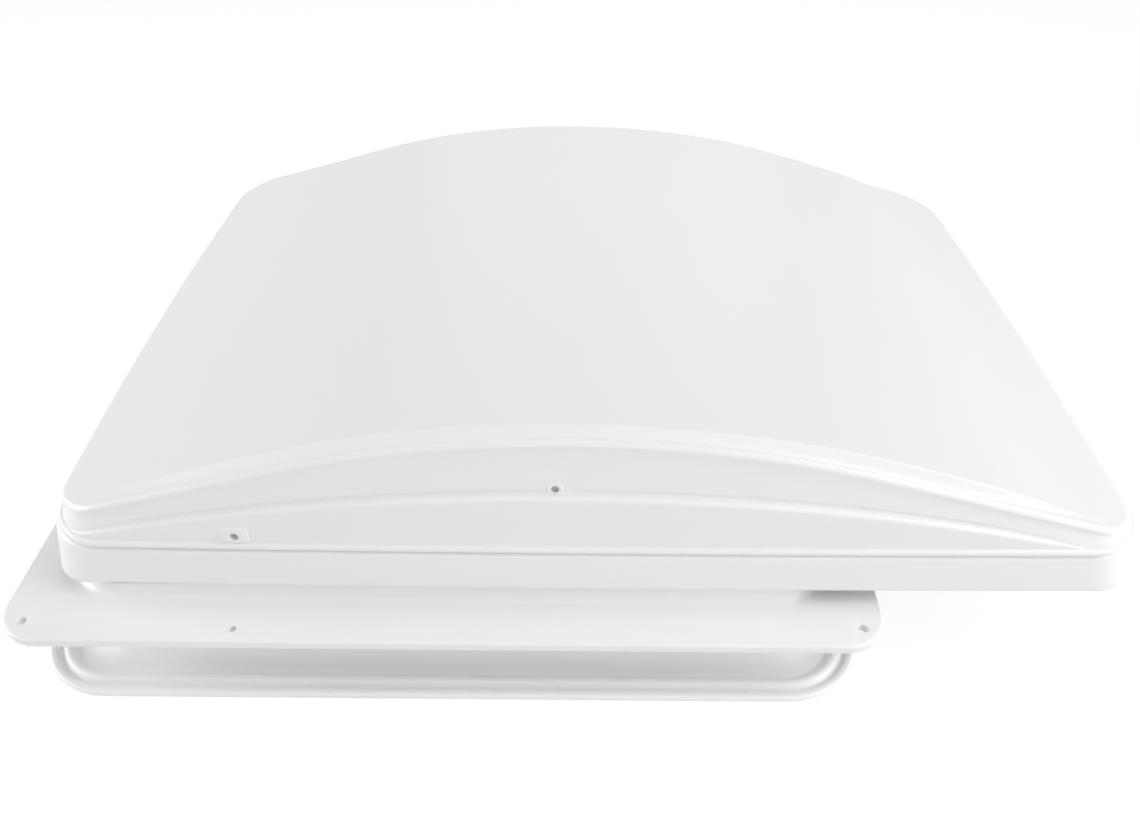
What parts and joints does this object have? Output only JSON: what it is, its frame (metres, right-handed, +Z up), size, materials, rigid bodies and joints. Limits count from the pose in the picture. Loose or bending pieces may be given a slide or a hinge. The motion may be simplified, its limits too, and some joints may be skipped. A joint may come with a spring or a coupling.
{
  "type": "caravan roof vent",
  "caption": "Square-flanged caravan roof vent with an arched lifting lid, a fan in its duct, a hand-wound lift gear and a stepped ceiling trim ring.",
  "frame": {"origin": "centre of the roof opening, in the plane of the roof on the flange's underside", "axes": "+X to the rear overhang, +Y across to the right side, +Z up out of the roof"},
  "size_m": [0.616, 0.474, 0.162],
  "materials": {
    "shell_white": "smooth satin-gloss moulded white",
    "trim_white": "satin moulded white",
    "seal_rubber": "matte closed-cell rubber",
    "screw_steel": "zinc plated",
    "pin_steel": "ground",
    "net_fibre": "coated fibre",
    "bracket_metal": "grey powder coat",
    "motor_black": "black enamel",
    "fan_grey": "smoke grey moulded",
    "gear_nylon": "natural nylon",
    "knob_grey": "light grey moulded",
    "board_green": "solder mask"
  },
  "bodies": {
    "base": {"roof_flange": "shell_white", "base_housing": "shell_white", "ceiling_garnish": "trim_white", "inner_bezel": "trim_white", "screen_frame": "trim_white", "control_panel": "trim_white", "neck_seal": "seal_rubber", "rim_seal": "seal_rubber", "wire_grommet": "seal_rubber", "housing_screws": "screw_steel", "garnish_screws": "screw_steel", "bracket_screws": "screw_steel", "motor_screws": "screw_steel", "bearing_screws": "screw_steel", "front_pins": "pin_steel", "screen_net": "net_fibre", "motor_bracket": "bracket_metal", "motor": "motor_black", "worm_bracket": "gear_nylon", "shaft_bearing_left": "gear_nylon", "shaft_bearing_right": "gear_nylon", "front_bearing_left": "gear_nylon", "front_bearing_right": "gear_nylon", "control_board": "board_green"},
    "fan": {"motor_shaft": "pin_steel", "fan_rotor": "fan_grey", "fan_nut": "screw_steel"},
    "lift_arms": {"lift_shaft": "pin_steel", "lift_arm_left": "bracket_metal", "lift_arm_right": "bracket_metal", "worm_wheel": "gear_nylon"},
    "front_arm_left": {"front_arm_left": "bracket_metal"},
    "front_arm_right": {"front_arm_right": "bracket_metal"},
    "lid": {"lid_dome": "shell_white", "lid_pins": "pin_steel"},
    "lift_knob": {"worm_spindle": "pin_steel", "lift_knob": "knob_grey"},
    "screen_latch_front": {"screen_latch_front": "trim_white"},
    "screen_latch_rear": {"screen_latch_rear": "trim_white"},
    "screen_latch_left": {"screen_latch_left": "trim_white"},
    "screen_latch_right": {"screen_latch_right": "trim_white"},
    "button_power": {"button_power": "knob_grey"},
    "button_faster": {"button_faster": "knob_grey"},
    "button_slower": {"button_slower": "knob_grey"},
    "button_reverse": {"button_reverse": "knob_grey"}
  },
  "joints": [
    {"name": "lift_arm_swing", "type": "hinge", "parent": "base", "child": "lift_arms", "pos_m": [0.1927, 0, 0.06321], "axis": [0, 1, 0], "range_deg": [0, 56]},
    {"name": "lid_level", "type": "hinge", "parent": "lift_arms", "child": "lid", "pos_m": [0.05901, 0, 0.082], "axis": [0, 1, 0], "range_deg": [-56, 0]},
    {"name": "front_arm_left_swing", "type": "hinge", "parent": "base", "child": "front_arm_left", "pos_m": [0.0247, -0.187, 0.03121], "axis": [0, 1, 0], "range_deg": [0, 56]},
    {"name": "front_arm_right_swing", "type": "hinge", "parent": "base", "child": "front_arm_right", "pos_m": [0.0247, 0.187, 0.03121], "axis": [0, 1, 0], "range_deg": [0, 56]},
    {"name": "lift_knob_turn", "type": "hinge", "parent": "base", "child": "lift_knob", "pos_m": [0.1607, -0.12, -0.036], "axis": [0, 0, -1], "range_deg": [0, 1344]},
    {"name": "fan_spin", "type": "hinge", "parent": "base", "child": "fan", "pos_m": [0, 0, 0.02], "axis": [0, 0, 1], "continuous": true},
    {"name": "screen_latch_front_turn", "type": "hinge", "parent": "base", "child": "screen_latch_front", "pos_m": [-0.176, 0, -0.036], "axis": [0, 0, -1], "range_deg": [0, 90]},
    {"name": "screen_latch_rear_turn", "type": "hinge", "parent": "base", "child": "screen_latch_rear", "pos_m": [0.176, 0, -0.036], "axis": [0, 0, -1], "range_deg": [0, 90]},
    {"name": "screen_latch_left_turn", "type": "hinge", "parent": "base", "child": "screen_latch_left", "pos_m": [0, -0.176, -0.036], "axis": [0, 0, -1], "range_deg": [0, 90]},
    {"name": "screen_latch_right_turn", "type": "hinge", "parent": "base", "child": "screen_latch_right", "pos_m": [0, 0.176, -0.036], "axis": [0, 0, -1], "range_deg": [0, 90]},
    {"name": "button_power_press", "type": "slide", "parent": "base", "child": "button_power", "axis": [0, 0, 1], "range_m": [0, 0.0008], "stiffness_N_per_m": 900, "springref_m": -0.0004},
    {"name": "button_faster_press", "type": "slide", "parent": "base", "child": "button_faster", "axis": [0, 0, 1], "range_m": [0, 0.0008], "stiffness_N_per_m": 900, "springref_m": -0.0004},
    {"name": "button_slower_press", "type": "slide", "parent": "base", "child": "button_slower", "axis": [0, 0, 1], "range_m": [0, 0.0008], "stiffness_N_per_m": 900, "springref_m": -0.0004},
    {"name": "button_reverse_press", "type": "slide", "parent": "base", "child": "button_reverse", "axis": [0, 0, 1], "range_m": [0, 0.0008], "stiffness_N_per_m": 900, "springref_m": -0.0004}
  ],
  "couplings": [
    {"joint": "lid_level", "follows": "lift_arm_swing", "ratio": -1},
    {"joint": "front_arm_left_swing", "follows": "lift_arm_swing", "ratio": 1},
    {"joint": "front_arm_right_swing", "follows": "lift_arm_swing", "ratio": 1},
    {"joint": "lift_knob_turn", "follows": "lift_arm_swing", "ratio": 24}
  ]
}
